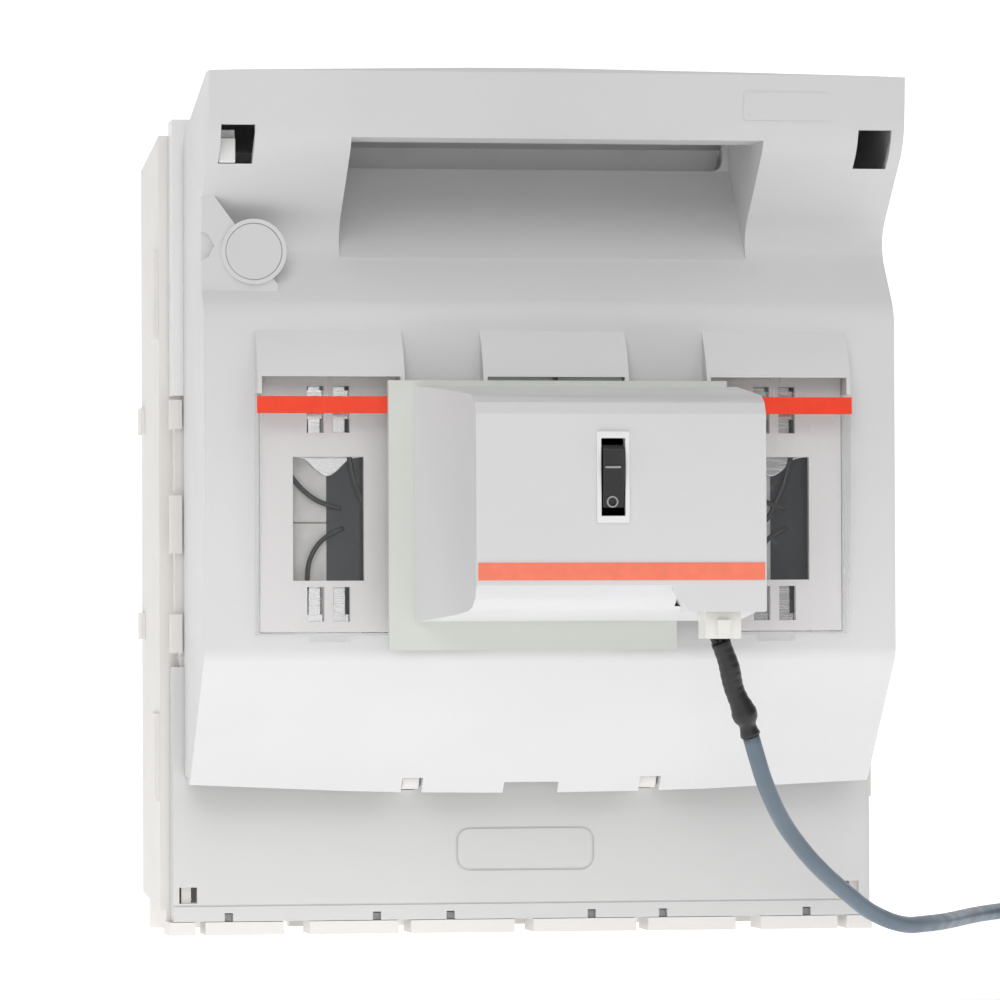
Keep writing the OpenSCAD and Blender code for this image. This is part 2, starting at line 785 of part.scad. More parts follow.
module switch_body() {
    x = [switch_x[0] - 1, switch_x[1] + 1];
    color("black") difference() {
        block(x, [100, monitor_f - 4], [switch_z[0] - 2, switch_z[1] + 2]);
        block([x[0] + 2.4, x[1] - 2.4], [112, 140], [switch_z[0] + 2, switch_z[1] - 2]);
    }
    color("black") for (s = [[x[0] + 2, x[0] + 3.8], [x[1] - 3.8, x[1] - 2]])
        cross_rod([rocker_axis_f, rocker_axis_z], 1.4, s);
}

// The lever of the rocker, its upper half pressed forward
module switch_rocker() {
    x = [switch_x[0] + 2, switch_x[1] - 2];
    f = rocker_axis_f;
    z = rocker_axis_z;
    outline = [[f - 3, z + 4], [f - 3, z - 4], [f + 5, z - 12.4], [f + 9.6, z - 12.4],
               [f + 11.6, z - 3], [monitor_f + rocker_reach, z + 4], [f + 11.5, z + 9.5],
               [f + 9.5, z + 11], [f + 6, z + 11.4]];
    color("dimgray") difference() {
        side_profile(outline, x);
        cross_rod([f, z], 1.45, [x[0] - 1, x[0] + 0.95]);
        cross_rod([f, z], 1.45, [x[1] - 0.95, x[1] + 1]);
    }
}

module monitor_board() {
    color("seagreen") difference() {
        block([-42, 58], board_f, [120, 186]);
        for (p = board_posts)
            depth_rod(p, 1.6, [80, 92]);
    }
    color("dimgray") {
        block([-30, -12], [board_f[1], 96], [150, 172]);
        block([20, 32], [board_f[1], 97], [128, 140]);
        depth_rod([-22, 134], 5, [board_f[1], 100]);
        depth_rod([40, 170], 4, [board_f[1], 98]);
    }
}

module connector_socket() {
    color("white") difference() {
        union() {
            block(socket_x, [111.5, 124.5], [plug_top_z, 126]);
            block([socket_x[0] - 1, socket_x[1] + 1], [109, 127], [boss_floor_z, boss_floor_z + 1.5]);
        }
        block([socket_x[0] + 1.5, socket_x[1] - 1.5], [113, 123], [plug_top_z - 1, 122]);
    }
}

// From each outer fuse's lug to the monitor, through the middle carrier's opening
module sense_wires() {
    left = [[-72, 60.2, 184.5], [-72, 60.2, 172], [-68, 60.2, 157], [-57, 60.2, 145],
            [-42, 60.2, 139], [-26, 60.2, 139], [-14, 60.5, 142], [-9, 64, 144.5], [-8, 72, 145],
            [-8, board_f[0], 145]];
    right = [[88, 60.2, 184.5], [87, 60.2, 170], [80, 60.2, 151], [66, 60.2, 139], [46, 60.2, 136],
             [28, 60.2, 138], [14, 60.5, 142], [9, 64, 144.5], [8, 72, 145], [8, board_f[0], 145]];
    color("black") {
        tube(left, 1, 8, [0, 0, -1]);
        tube(right, 1, 8, [0, 0, -1]);
    }
}

// ---------------------------------------------------------------- lead

module cable_plug() {
    x = [socket_x[0], socket_x[1]];
    color("white") {
        block([x[0] + 1.8, x[1] - 1.8], [113.4, 122.6], [plug_top_z, 121]);
        block(x, [111.5, 124.5], [106.5, plug_top_z]);
        block([x[0] + 4, x[1] - 4], [124.5, 126.2], [107, plug_top_z - 1]);
    }
}

// A cylinder from point a to point b, given as [x, f, z]
module rod_between(a, b, r) {
    v = [b[0] - a[0], a[1] - b[1], b[2] - a[2]];
    translate([a[0], front_y - a[1], a[2]])
        rotate([0, acos(v[2] / norm(v)), atan2(v[1], v[0])])
            cylinder(h = norm(v), r = r);
}

module heat_shrink_sleeve() {
    color("black") rod_between(sleeve_top, sleeve_end, sleeve_r);
}

// Smooth points along a route, with a ring of corners round each of them
function unit(v) = v / norm(v);
function place(p) = [p[0], front_y - p[1], p[2]];
function curve_at(p, i, t) =
    let (n = len(p) - 1)
    let (a = p[max(i - 1, 0)], b = p[i], c = p[i + 1], d = p[min(i + 2, n)])
    0.5 * (2 * b + (c - a) * t + (2 * a - 5 * b + 4 * c - d) * t * t
           + (3 * b - a - 3 * c + d) * t * t * t);
function smooth(p, steps) = concat(
    [for (i = [0:len(p) - 2]) for (k = [0:steps - 1]) curve_at(p, i, k / steps)],
    [p[len(p) - 1]]);

module tube(route, r, sides, first_dir) {
    p = smooth([for (q = route) place(q)], 2);
    n = len(p);
    dirs = [for (i = [0:n - 1])
        i == 0 ? first_dir : unit(p[min(i + 1, n - 1)] - p[i - 1])];
    rings = [for (i = [0:n - 1])
        let (a = unit(cross(dirs[i], [0.3, -0.9, 0.2])), b = cross(a, dirs[i]))
        [for (k = [0:sides - 1])
            p[i] + r * (a * cos(360 * k / sides) + b * sin(360 * k / sides))]];
    points = [for (ring = rings) for (q = ring) q];
    walls = [for (i = [0:n - 2]) for (k = [0:sides - 1])
        [i * sides + k, i * sides + (k + 1) % sides,
         (i + 1) * sides + (k + 1) % sides, (i + 1) * sides + k]];
    triangles = [for (w = walls) for (t = [[w[0], w[1], w[2]], [w[0], w[2], w[3]]]) t];
    start = [for (k = [sides - 1:-1:0]) k];
    end = [for (k = [0:sides - 1]) (n - 1) * sides + k];
    polyhedron(points, concat(triangles, [start, end]));
}

module cord_run() {
    first_dir = unit(place(sleeve_end) - place(sleeve_top));
    color("slategray") tube(lead_route, cable_d / 2, 10, first_dir);
}

// The rest of the lead, wound up, with its free end pointing to the middle
module cord_coil() {
    color("slategray") {
        translate([coil_centre[0], front_y - coil_centre[1], 0])
            rotate_extrude()
                translate([coil_r[0], 0])
                    square([coil_r[1] - coil_r[0], coil_h]);
        cross_rod([tail_f, cable_d / 2], cable_d / 2, [coil_centre[0] - 28, tail_x]);
    }
}

module coil_tie() {
    c = [coil_centre[0] + (coil_r[0] + coil_r[1]) / 2, front_y - coil_centre[1], 0];
    half = (coil_r[1] - coil_r[0]) / 2;
    color("black") translate(c) difference() {
        translate([-half - 1.2, -2, 0])
            cube([2 * half + 2.4, 4, coil_h + 1.2]);
        translate([-half, -3, -1])
            cube([2 * half, 6, coil_h + 1]);
    }
}

// Where the three cores leave the jacket, as [f, z] about its axis
core_at = [[-1.3, -0.8], [1.3, -0.8], [0, 1.5]];
tail_x = coil_centre[0] - 2;
tail_f = coil_centre[1] - 15;

module core_rods(r, x) {
    for (p = core_at)
        cross_rod([tail_f + p[0], cable_d / 2 + p[1]], r, x);
}

module lead_cores() {
    color("saddlebrown") core_rods(1.05, [tail_x - 1, tail_x + 15]);
}

module core_ferrules() {
    color("silver") core_rods(1.2, [tail_x + 14, tail_x + 22]);
}

base_housing();
upper_terminal_cover();
lower_terminal_cover();
terminal_bar(phases[0], UP);  // upper_terminal_left
terminal_bar(phases[1], UP);  // upper_terminal_centre
terminal_bar(phases[2], UP);  // upper_terminal_right
terminal_bar(phases[0], DOWN);  // lower_terminal_left
terminal_bar(phases[1], DOWN);  // lower_terminal_centre
terminal_bar(phases[2], DOWN);  // lower_terminal_right
jaws(phases[0], UP);  // upper_jaws_left
jaws(phases[1], UP);  // upper_jaws_centre
jaws(phases[2], UP);  // upper_jaws_right
jaws(phases[0], DOWN);  // lower_jaws_left
jaws(phases[1], DOWN);  // lower_jaws_centre
jaws(phases[2], DOWN);  // lower_jaws_right
jaw_springs(UP);  // upper_jaw_springs
jaw_springs(DOWN);  // lower_jaw_springs
terminal_bolts();
terminal_washers();
terminal_nuts();
terminal_screws();
lid_shell();
hinge_pins();
window(phases[0]);  // window_left
window(phases[2]);  // window_right
window_band(phases[0]);  // window_band_left
window_band(phases[2]);  // window_band_right
blanking_plug();
seal_slider();
fuse_carrier(phases[0]);  // fuse_carrier_left
fuse_carrier(phases[1]);  // fuse_carrier_centre
fuse_carrier(phases[2]);  // fuse_carrier_right
fuse_body(phases[0]);  // fuse_body_left
fuse_body(phases[1]);  // fuse_body_centre
fuse_body(phases[2]);  // fuse_body_right
fuse_end_caps(phases[0]);  // fuse_end_caps_left
fuse_end_caps(phases[1]);  // fuse_end_caps_centre
fuse_end_caps(phases[2]);  // fuse_end_caps_right
fuse_blades(phases[0]);  // fuse_blades_left
fuse_blades(phases[1]);  // fuse_blades_centre
fuse_blades(phases[2]);  // fuse_blades_right
fuse_indicators();
monitor_base_plate();
monitor_housing();
monitor_band();
switch_bezel();
switch_body();
switch_rocker();
monitor_board();
connector_socket();
sense_wires();
cable_plug();
heat_shrink_sleeve();
cord_run();
cord_coil();
coil_tie();
lead_cores();
core_ferrules();
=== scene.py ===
import json
import math

import bmesh
import bpy
from mathutils import Matrix, Vector


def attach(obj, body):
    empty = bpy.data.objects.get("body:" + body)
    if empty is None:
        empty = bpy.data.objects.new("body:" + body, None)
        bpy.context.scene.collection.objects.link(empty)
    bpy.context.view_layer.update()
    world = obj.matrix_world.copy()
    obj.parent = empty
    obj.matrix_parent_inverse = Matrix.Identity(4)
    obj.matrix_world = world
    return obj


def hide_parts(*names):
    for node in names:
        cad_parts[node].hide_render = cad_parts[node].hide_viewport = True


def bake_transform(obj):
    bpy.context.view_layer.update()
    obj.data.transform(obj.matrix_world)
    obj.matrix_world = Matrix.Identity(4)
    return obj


# The looks of a three-pole fuse switch with a fuse monitor on it. Lengths are in millimetres up to
# at(), which turns them into the scene's metres.
MM = 0.001
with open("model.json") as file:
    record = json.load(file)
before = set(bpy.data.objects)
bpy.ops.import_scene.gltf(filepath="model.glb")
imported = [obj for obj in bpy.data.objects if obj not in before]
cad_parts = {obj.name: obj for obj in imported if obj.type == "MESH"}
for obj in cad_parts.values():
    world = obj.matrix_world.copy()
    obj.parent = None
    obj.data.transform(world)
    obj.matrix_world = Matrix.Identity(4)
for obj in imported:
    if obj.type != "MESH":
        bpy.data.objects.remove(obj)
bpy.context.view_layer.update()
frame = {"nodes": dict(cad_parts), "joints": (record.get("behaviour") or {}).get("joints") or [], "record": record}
nodes = frame["nodes"]

# ------------------------------------------------------------------ places
# f is measured forward of the front frame's face, and the lid's hinge line is at HINGE_F.
HINGE_F = 9
HINGE = next(j for j in frame["joints"] if j["name"] == "lid_hinge")["pos_m"]
FRONT_Y = HINGE[1] + HINGE_F * MM
PHASES = {"left": -80, "centre": 0, "right": 80}
FUSE_FACE_F = 58
HANDLE_FACE_F = 83.5            # at the height HANDLE_Z
HANDLE_Z = 282
HANDLE_LEAN = 2 / 23.5          # how much further forward the handle's face gets, going up
COVER_RIM_F = 5
MONITOR_BOSS_F = 104.5
ROCKER_BAR_F = 133.2            # the rocker's face, at its raised part and at its ring
ROCKER_RING_F = 130.45


def at(x, f, z):
    """A point given in millimetres as across, forward of the frame's face, and up."""
    return Vector((x * MM, FRONT_Y - f * MM, z * MM))


# ------------------------------------------------------------------ camera
CAMERA_PLACE = Vector((-0.36341, -2.18339, 0.10797))
CAMERA_TARGET = Vector((-0.00829, 0.02875, 0.15725))
CAMERA_ROLL = math.radians(-0.22)
CAMERA_LENS, CAMERA_SENSOR = 221.5, 36
CAMERA_CLIP = 0.1, 20


def make_camera():
    forward = (CAMERA_TARGET - CAMERA_PLACE).normalized()
    level = forward.cross(Vector((0, 0, 1))).normalized()
    upright = level.cross(forward)
    right = math.cos(CAMERA_ROLL) * level + math.sin(CAMERA_ROLL) * upright
    up = right.cross(forward)
    data = bpy.data.cameras.new("camera")
    data.lens = CAMERA_LENS
    data.sensor_width = CAMERA_SENSOR
    data.clip_start, data.clip_end = CAMERA_CLIP
    camera = bpy.data.objects.new("camera", data)
    axes = Matrix((right, up, -forward)).transposed().to_4x4()
    camera.matrix_world = Matrix.Translation(CAMERA_PLACE) @ axes
    bpy.context.collection.objects.link(camera)
    bpy.context.scene.camera = camera


make_camera()


# ------------------------------------------------------------------ material tools
class Graph:
    """One material's nodes, with short calls to add the usual ones."""

    def __init__(self, name):
        self.material = bpy.data.materials.new(name)
        self.material.use_nodes = True
        self.tree = self.material.node_tree
        self.shader = self.tree.nodes["Principled BSDF"]
        self.place = self.add("ShaderNodeTexCoord").outputs["Object"]

    def add(self, kind, **values):
        node = self.tree.nodes.new(kind)
        for key, value in values.items():
            if hasattr(node, key):
                setattr(node, key, value)
            else:
                node.inputs[key.replace("_", " ").title()].default_value = value
        return node

    def link(self, a, b):
        self.tree.links.new(a, b)

    def noise(self, scale, detail=3.0, stretch=(1, 1, 1), rough=0.5):
        place = self.place
        if stretch != (1, 1, 1):
            mapping = self.add("ShaderNodeMapping")
            mapping.inputs["Scale"].default_value = stretch
            self.link(self.place, mapping.inputs["Vector"])
            place = mapping.outputs["Vector"]
        node = self.add("ShaderNodeTexNoise", scale=scale, detail=detail, roughness=rough)
        self.link(place, node.inputs["Vector"])
        return node.outputs["Fac"]

    def ramp(self, value, stops):
        node = self.add("ShaderNodeValToRGB")
        points = node.color_ramp.elements
        while len(points) < len(stops):
            points.new(0.5)
        for point, (position, colour) in zip(points, stops):
            point.position = position
            point.color = colour
        self.link(value, node.inputs["Fac"])
        return node.outputs["Color"]

    def span(self, value, low, high, source=(0.3, 0.7)):
        node = self.add("ShaderNodeMapRange")
        node.inputs["From Min"].default_value = source[0]
        node.inputs["From Max"].default_value = source[1]
        node.inputs["To Min"].default_value = low
        node.inputs["To Max"].default_value = high
        self.link(value, node.inputs["Value"])
        return node.outputs["Result"]

    def mix(self, factor, a, b, blend="MIX"):
        node = self.add("ShaderNodeMix", data_type="RGBA", blend_type=blend)
        for socket, value in ((node.inputs[0], factor), (node.inputs[6], a), (node.inputs[7], b)):
            if hasattr(value, "links"):
                self.link(value, socket)
            else:
                socket.default_value = value
        return node.outputs[2]

    def bump(self, heights, strength, distance):
        below = None
        for height in heights:
            node = self.add("ShaderNodeBump", strength=strength)
            node.inputs["Distance"].default_value = distance
            self.link(height, node.inputs["Height"])
            if below is not None:
                self.link(below, node.inputs["Normal"])
            below = node.outputs["Normal"]
        self.link(below, self.shader.inputs["Normal"])

    def set(self, **values):
        for key, value in values.items():
            self.shader.inputs[key.replace("_", " ")].default_value = value


def shade(colour, factor):
    return (*[min(1.0, c * factor) for c in colour[:3]], 1)


def plastic(name, colour, rough=0.5, grain=1800, bump=0.06, vary=0.03, coat=0.0):
    """Moulded plastic: a fine spark-eroded grain, slow changes of shade, specks, uneven gloss."""
    g = Graph(name)
    slow = g.noise(9, 4)
    fine = g.noise(grain, 2)
    tint = g.ramp(slow, [(0.3, shade(colour, 1 - vary)), (0.7, shade(colour, 1 + vary))])
    speck = g.ramp(g.noise(900, 5, rough=0.7), [(0.30, (0.9, 0.9, 0.9, 1)), (0.42, (1, 1, 1, 1))])
    g.link(g.mix(0.3, tint, speck, "MULTIPLY"), g.shader.inputs["Base Color"])
    g.link(g.span(g.noise(60, 4), rough - 0.07, rough + 0.07), g.shader.inputs["Roughness"])
    g.bump([fine, g.noise(35, 3)], bump, 0.0002)
    g.set(Coat_Weight=coat, Coat_Roughness=0.25)
    return g.material


def metal(name, colour, rough=0.3, stretch=(1, 1, 30), scale=90, stain=0.12):
    """Plated metal: fine drawn lines along one direction and faint stains."""
    g = Graph(name)
    lines = g.noise(scale, 4, stretch)
    stains = [(0.35, shade(colour, 1 - stain)), (0.6, shade(colour, 1))]
    spots = g.ramp(g.noise(55, 6, rough=0.65), stains)
    g.link(g.mix(g.span(lines, 0, 0.5), spots, shade(colour, 0.82)), g.shader.inputs["Base Color"])
    g.link(g.span(lines, rough - 0.1, rough + 0.12), g.shader.inputs["Roughness"])
    g.bump([lines], 0.08, 0.0001)
    g.set(Metallic=1.0)
    return g.material


def printed(name, colour):
    """A printed band: flat ink with a slightly uneven cover."""
    g = Graph(name)
    ink = g.ramp(g.noise(260, 5), [(0.3, shade(colour, 0.94)), (0.7, shade(colour, 1.04))])
    g.link(ink, g.shader.inputs["Base Color"])
    g.link(g.span(g.noise(130, 3), 0.35, 0.5), g.shader.inputs["Roughness"])
    g.bump([g.noise(900, 2)], 0.04, 0.0001)
    return g.material


def fired(name, colour):
    """Glazed steatite: a smooth body with fine dark grains."""
    g = Graph(name)
    body = g.ramp(g.noise(18, 4), [(0.3, shade(colour, 0.95)), (0.7, shade(colour, 1.03))])
    dark, none = (0.55, 0.5, 0.45, 1), (1, 1, 1, 1)
    grains = g.ramp(g.noise(900, 4, rough=0.8), [(0.27, dark), (0.36, none)])
    g.link(g.mix(0.5, body, grains, "MULTIPLY"), g.shader.inputs["Base Color"])
    g.link(g.span(g.noise(45, 3), 0.18, 0.3), g.shader.inputs["Roughness"])
    g.bump([g.noise(120, 3)], 0.05, 0.0003)
    return g.material


def clear(name):
    """Thin clear polycarbonate: see-through face on, whiter at a slant, with faint wear."""
    g = Graph(name)
    g.link(g.span(g.noise(300, 5), 0.04, 0.12), g.shader.inputs["Roughness"])
    g.bump([g.noise(25, 2)], 0.03, 0.0004)
    slant = g.add("ShaderNodeLayerWeight", blend=0.35).outputs["Facing"]
    g.link(g.span(slant, 0.03, 0.7, (0.12, 1.0)), g.shader.inputs["Alpha"])
    tint = g.ramp(g.noise(14, 3), [(0.3, (0.86, 0.89, 0.91, 1)), (0.7, (0.92, 0.94, 0.95, 1))])
    g.link(tint, g.shader.inputs["Base Color"])
    g.set(IOR=1.58, Specular_IOR_Level=0.8)
    return g.material


def rubber(name, colour, rough=0.45, wrinkle=0.0):
    """A cable's jacket or a shrunk sleeve: slightly greasy sheen, drag lines and small wrinkles."""
    g = Graph(name)
    slow = g.ramp(g.noise(40, 4), [(0.3, shade(colour, 0.9)), (0.7, shade(colour, 1.1))])
    g.link(slow, g.shader.inputs["Base Color"])
    g.link(g.span(g.noise(140, 4), rough - 0.1, rough + 0.1), g.shader.inputs["Roughness"])
    g.bump([g.noise(1500, 3), g.noise(160, 4)], 0.06 + wrinkle, 0.0005)
    return g.material


MAKERS = {
    "housing_plastic": lambda n: plastic(n, (0.80, 0.775, 0.75), 0.52),
    "cover_upper_plastic": lambda n: plastic(n, (0.84, 0.84, 0.835), 0.4),
    # the lower cover's grey is set darker than the lid's: painted shade that offsets the light it gets from the
    # sheet below
    "cover_lower_plastic": lambda n: plastic(n, (0.66, 0.66, 0.655), 0.5),
    "lid_plastic": lambda n: plastic(n, (0.70, 0.70, 0.70), 0.48, bump=0.09),
    "window_clear": clear,
    "orange_band": lambda n: printed(n, (0.93, 0.05, 0.010)),
    "plug_plastic": lambda n: plastic(n, (0.68, 0.68, 0.68), 0.48),
    "slider_plastic": lambda n: plastic(n, (0.88, 0.88, 0.87), 0.35, bump=0.03),
    "carrier_plastic": lambda n: plastic(n, (0.77, 0.75, 0.745), 0.45),
    "ceramic": lambda n: fired(n, (0.82, 0.80, 0.74)),
    "cap_metal": lambda n: metal(n, (0.80, 0.80, 0.80), 0.22),
    "blade_metal": lambda n: metal(n, (0.83, 0.82, 0.79), 0.28),
    "indicator_red": lambda n: plastic(n, (0.55, 0.01, 0.015), 0.3, bump=0.02),
    "monitor_plate_plastic": lambda n: plastic(n, (0.67, 0.685, 0.64), 0.5),
    "monitor_plastic": lambda n: plastic(n, (0.71, 0.71, 0.72), 0.42, bump=0.05),
    "monitor_band_orange": lambda n: printed(n, (0.95, 0.22, 0.13)),
    "bezel_white": lambda n: plastic(n, (0.86, 0.86, 0.86), 0.25, bump=0.02),
    "switch_black": lambda n: plastic(n, (0.015, 0.015, 0.016), 0.35),
    "rocker_black": lambda n: plastic(n, (0.018, 0.018, 0.019), 0.3, bump=0.03),
    "board_green": lambda n: plastic(n, (0.03, 0.16, 0.07), 0.3),
    "connector_white": lambda n: plastic(n, (0.80, 0.79, 0.74), 0.4, bump=0.02),
    "wire_black": lambda n: rubber(n, (0.012, 0.012, 0.013), 0.4),
    "plug_white": lambda n: plastic(n, (0.83, 0.82, 0.78), 0.35, bump=0.02),
    "sleeve_black": lambda n: rubber(n, (0.010, 0.010, 0.011), 0.33, 0.3),
    "cable_jacket": lambda n: rubber(n, (0.115, 0.155, 0.195), 0.42),
    "tie_black": lambda n: plastic(n, (0.015, 0.015, 0.015), 0.35),
    "core_insulation": lambda n: rubber(n, (0.22, 0.08, 0.03), 0.4),
    "ferrule_tin": lambda n: metal(n, (0.75, 0.75, 0.76), 0.3),
    "terminal_metal": lambda n: metal(n, (0.78, 0.77, 0.73), 0.35),
    "jaw_metal": lambda n: metal(n, (0.84, 0.83, 0.80), 0.3),
    "spring_steel": lambda n: metal(n, (0.50, 0.50, 0.51), 0.35),
    "bolt_steel": lambda n: metal(n, (0.70, 0.70, 0.67), 0.35, (1, 1, 1), 300),
    "pin_steel": lambda n: metal(n, (0.60, 0.60, 0.60), 0.3),
    # looks of small pieces that share a record slot with something else
    "label_film": lambda n: plastic(n, (0.70, 0.70, 0.71), 0.33, bump=0.01),
    "label_white": lambda n: printed(n, (0.60, 0.59, 0.57)),
    "label_black": lambda n: plastic(n, (0.012, 0.014, 0.018), 0.22, bump=0.02),
    "mark_print": lambda n: printed(n, (0.35, 0.35, 0.35)),
}
SLOT_OF = {s["node"]: s["material_slot"] for s in frame["record"]["subparts"]}
MATERIALS = {look: make(look) for look, make in MAKERS.items()}


def paint(obj, look):
    obj.data.materials.clear()
    obj.data.materials.append(MATERIALS[look])


# ------------------------------------------------------------------ lead
CABLE_R = 3.0
SLEEVE_R = 3.55
SLEEVE_TOP = Vector((50, 118, 105.5))
SLEEVE_END = Vector((62, 110, 73))
CORD_GAP = 0.4
COIL_X, COIL_F = 244, -74
ROUTE = [
    (64.8, 107.6, 65), (68, 104, 57), (72.3, 98.5, 49), (77.5, 92, 41.5),
    (83.5, 86, 34.5), (90, 80, 28), (98.5, 72, 21), (107.5, 64, 14.5), (114, 58.5, 10),
    (121, 53, 6.5), (127.5, 47.5, 4.2), (134, 42, 3), (141, 34.5, 3), (148, 25, 3),
    (154.5, 13.5, 3), (161, 0, 3), (167.5, -14, 3), (174, -27.5, 3), (180.5, -40, 3),
    (187, -51, 3), (193.5, -61.5, 3), (199.5, -71.5, 3),
]


def coil_points():
    """Three turns: the outer one and the inner one on the floor, the middle one on top of them."""
    start = 195
    # (degrees turned, radius, height)
    stations = [(0, 39, 3), (330, 39, 3), (390, 36, 8.2), (690, 36, 8.2), (750, 33, 3), (975, 33, 3)]
    points = []
    for step in range(0, stations[-1][0] + 1, 15):
        for (a, ra, za), (b, rb, zb) in zip(stations, stations[1:]):
            if a <= step <= b:
                t = (step - a) / (b - a)
                t = t * t * (3 - 2 * t)
                r, z = ra + (rb - ra) * t, za + (zb - za) * t
                break
        angle = math.radians(start + step)
        points.append((COIL_X + r * math.cos(angle), COIL_F + r * math.sin(angle), z))
    # the tail leaves the inner turn along a slightly tighter arc, towards the middle
    tail_r = 24
    for step in range(15, 176, 20):
        angle = math.radians(90 + step)
        x, f = tail_r * math.cos(angle), 9 + tail_r * math.sin(angle)
        points.append((COIL_X + x, COIL_F + f, 3))
    return points


def catmull(points, per):
    """A smooth line through the points, with per steps between neighbours."""
    p = [Vector(q) for q in points]
    p = [2 * p[0] - p[1]] + p + [2 * p[-1] - p[-2]]
    line = []
    for i in range(1, len(p) - 2):
        a, b, c, d = p[i - 1 : i + 3]
        for k in range(per):
            t = k / per
            line.append(
                0.5 * (2 * b + (c - a) * t + (2 * a - 5 * b + 4 * c - d) * t * t
                       + (3 * b - a - 3 * c + d) * t ** 3)
            )
    line.append(p[-2])
    return line


def tube(name, line, radius, sides=16, radii=None):
    """A closed tube along a line of points in metres, with flat ends."""
    bm = bmesh.new()
    rings = []
    normal = None
    for i, p in enumerate(line):
        ahead = line[min(i + 1, len(line) - 1)] - line[max(i - 1, 0)]
        ahead.normalize()
        if normal is None:
            normal = ahead.orthogonal().normalized()
        normal = (normal - ahead * normal.dot(ahead)).normalized()
        side = ahead.cross(normal)
        r = radius if radii is None else radii[i]
        rings.append([
            bm.verts.new(p + r * (normal * math.cos(a) + side * math.sin(a)))
            for a in (2 * math.pi * k / sides for k in range(sides))
        ])
    for low, high in zip(rings, rings[1:]):
        for k in range(sides):
            bm.faces.new((low[k], low[(k + 1) % sides], high[(k + 1) % sides], high[k]))
    bm.faces.new(list(reversed(rings[0])))
    bm.faces.new(rings[-1])
    for face in bm.faces:
        face.smooth = len(face.verts) == 4
    return finish_mesh(name, bm)


def finish_mesh(name, bm):
    mesh = bpy.data.meshes.new(name)
    bmesh.ops.recalc_face_normals(bm, faces=bm.faces)
    bm.to_mesh(mesh)
    bm.free()
    obj = bpy.data.objects.new(name, mesh)
    bpy.context.collection.objects.link(obj)
    return obj


def make_lead():
    start = SLEEVE_END + CORD_GAP * (SLEEVE_END - SLEEVE_TOP).normalized()
    controls = [tuple(start), *ROUTE, *coil_points()]
    line = [at(*q) for q in catmull(controls, 3)]
    lead = tube("signal_cable", line, CABLE_R * MM)
    paint(lead, "cable_jacket")
    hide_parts("cord_run", "cord_coil")
    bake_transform(lead)
    return lead


make_lead()


# ------------------------------------------------------------------ small pieces
def add_prism(bm, outline, thick):
    """A closed prism: the outline's points, in metres, and the same points thick mm further forward."""
    shift = Vector((0, -thick * MM, 0))
    near = [bm.verts.new(p) for p in outline]
    far = [bm.verts.new(p + shift) for p in outline]
    bm.faces.new(near)
    bm.faces.new(list(reversed(far)))
    for i in range(len(near)):
        j = (i + 1) % len(near)
        bm.faces.new((near[j], near[i], far[i], far[j]))


def front_outline(points, f):
    return [at(x, f, z) for x, z in points]


def rounded_box(x0, x1, z0, z1, r, steps=5):
    """The corners of a rounded rectangle as (x, z) points."""
    corners = (x1 - r, z1 - r), (x0 + r, z1 - r), (x0 + r, z0 + r), (x1 - r, z0 + r)
    points = []
    for quarter, (cx, cz) in enumerate(corners):
        for k in range(steps + 1):
            a = math.radians(90 * (quarter + k / steps))
            points.append((cx + r * math.cos(a), cz + r * math.sin(a)))
    return points


def add_slab(bm, box, r, f, thick, steps=5):
    """A rounded rectangle x0, x1, z0, z1 that stands thick mm out of the plane at f."""
    add_prism(bm, front_outline(rounded_box(*box, r, steps), f), thick)


def fit_piece(piece, body, slot, look=None):
    """Paints a piece with its look, or with its slot's material when no look is given, and says what body it rides
    on.
    """
    paint(piece, look or slot)
    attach(piece, body)


def make_handle_label():
    """A blank label on the front of the handle, which leans forward a little towards the top."""
    bm = bmesh.new()
    outline = [
        at(x, HANDLE_FACE_F + (z - HANDLE_Z) * HANDLE_LEAN, z)
        for x, z in rounded_box(65.8, 96.4, 289.5, 299.4, 0.8)
    ]
    add_prism(bm, outline, 0.25)
    fit_piece(finish_mesh("handle_label", bm), "lid", "lid_plastic", "label_film")


def make_fuse_label(name, px, white_thick):
    """The two halves of a fuse's wrap: white and split at mid-height, and black on the right."""
    low, split, high = 104, (147.6, 148.2), 196
    white = bmesh.new()
    for z in ((low, split[0]), (split[1], high)):
        add_slab(white, (px - 26, px, *z), 0.5, FUSE_FACE_F, white_thick)
    fit_piece(finish_mesh(name + "_white", white), "lid", "ceramic", "label_white")
    black = bmesh.new()
    add_slab(black, (px + 0.1, px + 27, low, high), 0.5, FUSE_FACE_F, 0.35)
    fit_piece(finish_mesh(name + "_black", black), "lid", "switch_black", "label_black")


# The striker wires of a fuse, as (x, z, f) with x from the middle of its phase
STRIKER_WIRE_R = 0.9
STRIKER_WIRES = {
    "upper": [(-13, 165, 60), (-9, 160, 61), (-4, 156, 61.4), (1, 154, 61), (5, 153, 60)],
    "lower": [(-7, 124, 60), (-6.5, 133, 61), (-4, 139, 61.4), (0, 143, 61), (6, 146, 60)],
}


def make_fuse_wires(name, px):
    """The thin striker wires that cross in front of a fuse's label."""
    for part, points in STRIKER_WIRES.items():
        line = [at(px + x, f, z) for x, z, f in catmull(points, 4)]
        fit_piece(tube(f"{name}_{part}", line, STRIKER_WIRE_R * MM, 10), "lid", "wire_black")


# The lower edge of a fuse's bent lug, and the bright tongues behind the carrier's small openings
LUG_F = 59.4
LUG_HALF_W, LUG_TOP_Z = 12.5, 176
LUG_EDGE = [(-12.5, 171), (-8, 170.2), (-4, 166.6), (0, 164.2), (4, 166.2), (8, 170), (12.5, 171)]
TONGUE_X, TONGUE_HALF_W = 4.4, 2.4
TONGUE_SPANS = (106, 126), (178, 198)


